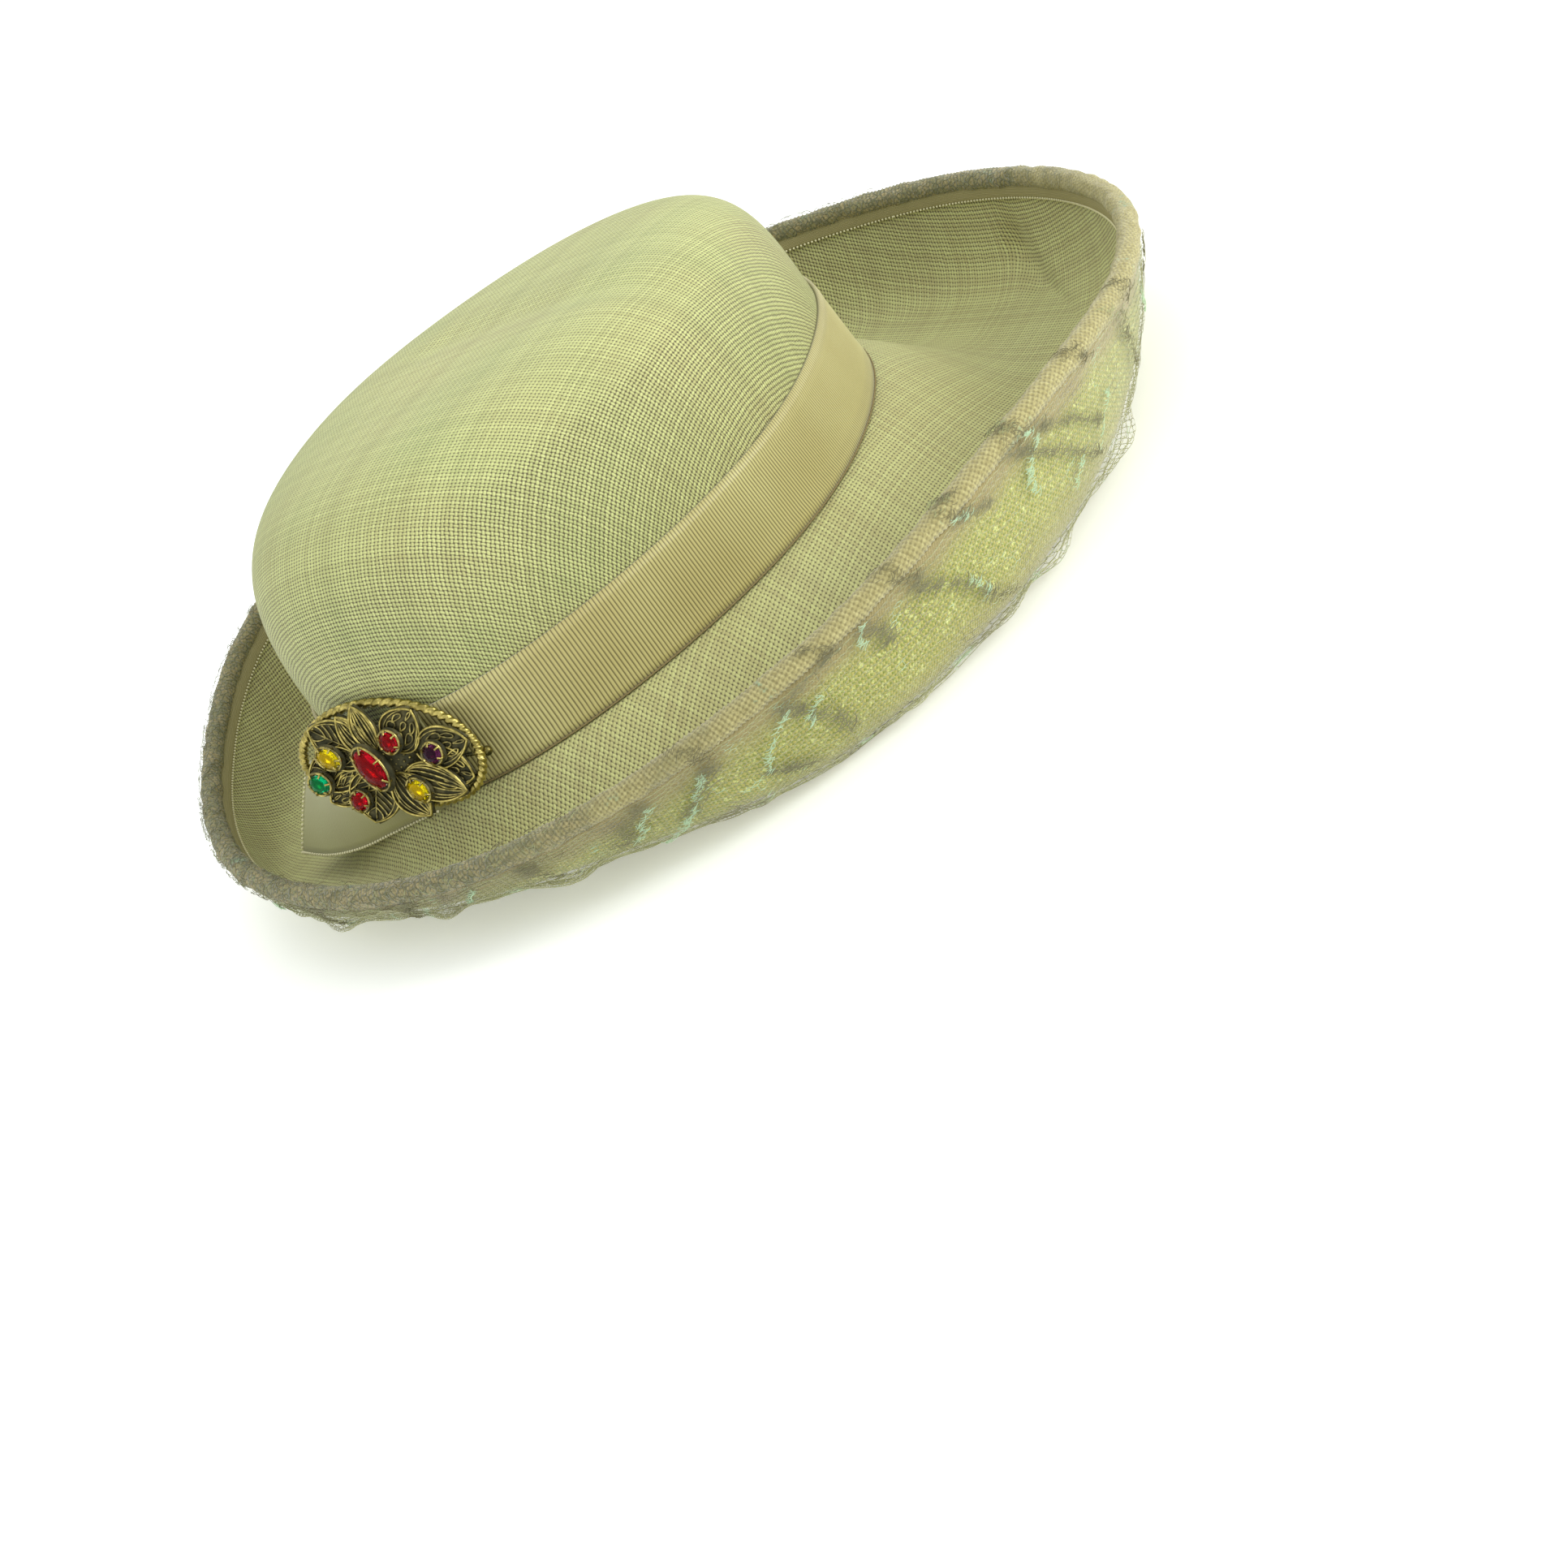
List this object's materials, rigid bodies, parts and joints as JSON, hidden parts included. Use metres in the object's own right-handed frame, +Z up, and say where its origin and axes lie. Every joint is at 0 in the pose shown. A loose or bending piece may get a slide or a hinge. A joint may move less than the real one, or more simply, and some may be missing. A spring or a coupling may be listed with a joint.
{
  "type": "breton hat",
  "caption": "Breton hat of khaki straw cloth with an oval crown, a turned-up brim with a rolled edge, a ribbon with a loose end, and an oval brooch with cut stones at the back.",
  "frame": {"origin": "middle of the hat's outline, on the surface that it rests on", "axes": "+Z up out of the crown's top, -Y towards the front of the hat, +X towards the wearer's left"},
  "size_m": [0.3202, 0.3024, 0.1048],
  "materials": {
    "straw_cloth": "coarse plain weave, matte",
    "facing_cloth": "green and gold shimmering weave",
    "tulle": "fine net with fuzzy threads",
    "roll_cloth": "soft, finely ribbed",
    "ribbon": "grosgrain, fine ribs across",
    "antique_brass": "antique, dark in the recesses",
    "red_glass": "cut and polished",
    "purple_glass": "cut and polished",
    "yellow_glass": "cut and polished",
    "green_glass": "cut and polished"
  },
  "bodies": {
    "root": {"crown": "straw_cloth", "brim": "straw_cloth", "brim_facing": "facing_cloth", "brim_net": "tulle", "edge_roll": "roll_cloth", "edge_tape": "ribbon", "ribbon_band": "ribbon", "ribbon_tail": "ribbon", "brooch_frame": "antique_brass", "brooch_pin": "antique_brass", "stone_red_centre": "red_glass", "stone_red_upper": "red_glass", "stone_red_lower": "red_glass", "stone_purple": "purple_glass", "stone_yellow_left": "yellow_glass", "stone_yellow_right": "yellow_glass", "stone_green": "green_glass"}
  },
  "joints": []
}
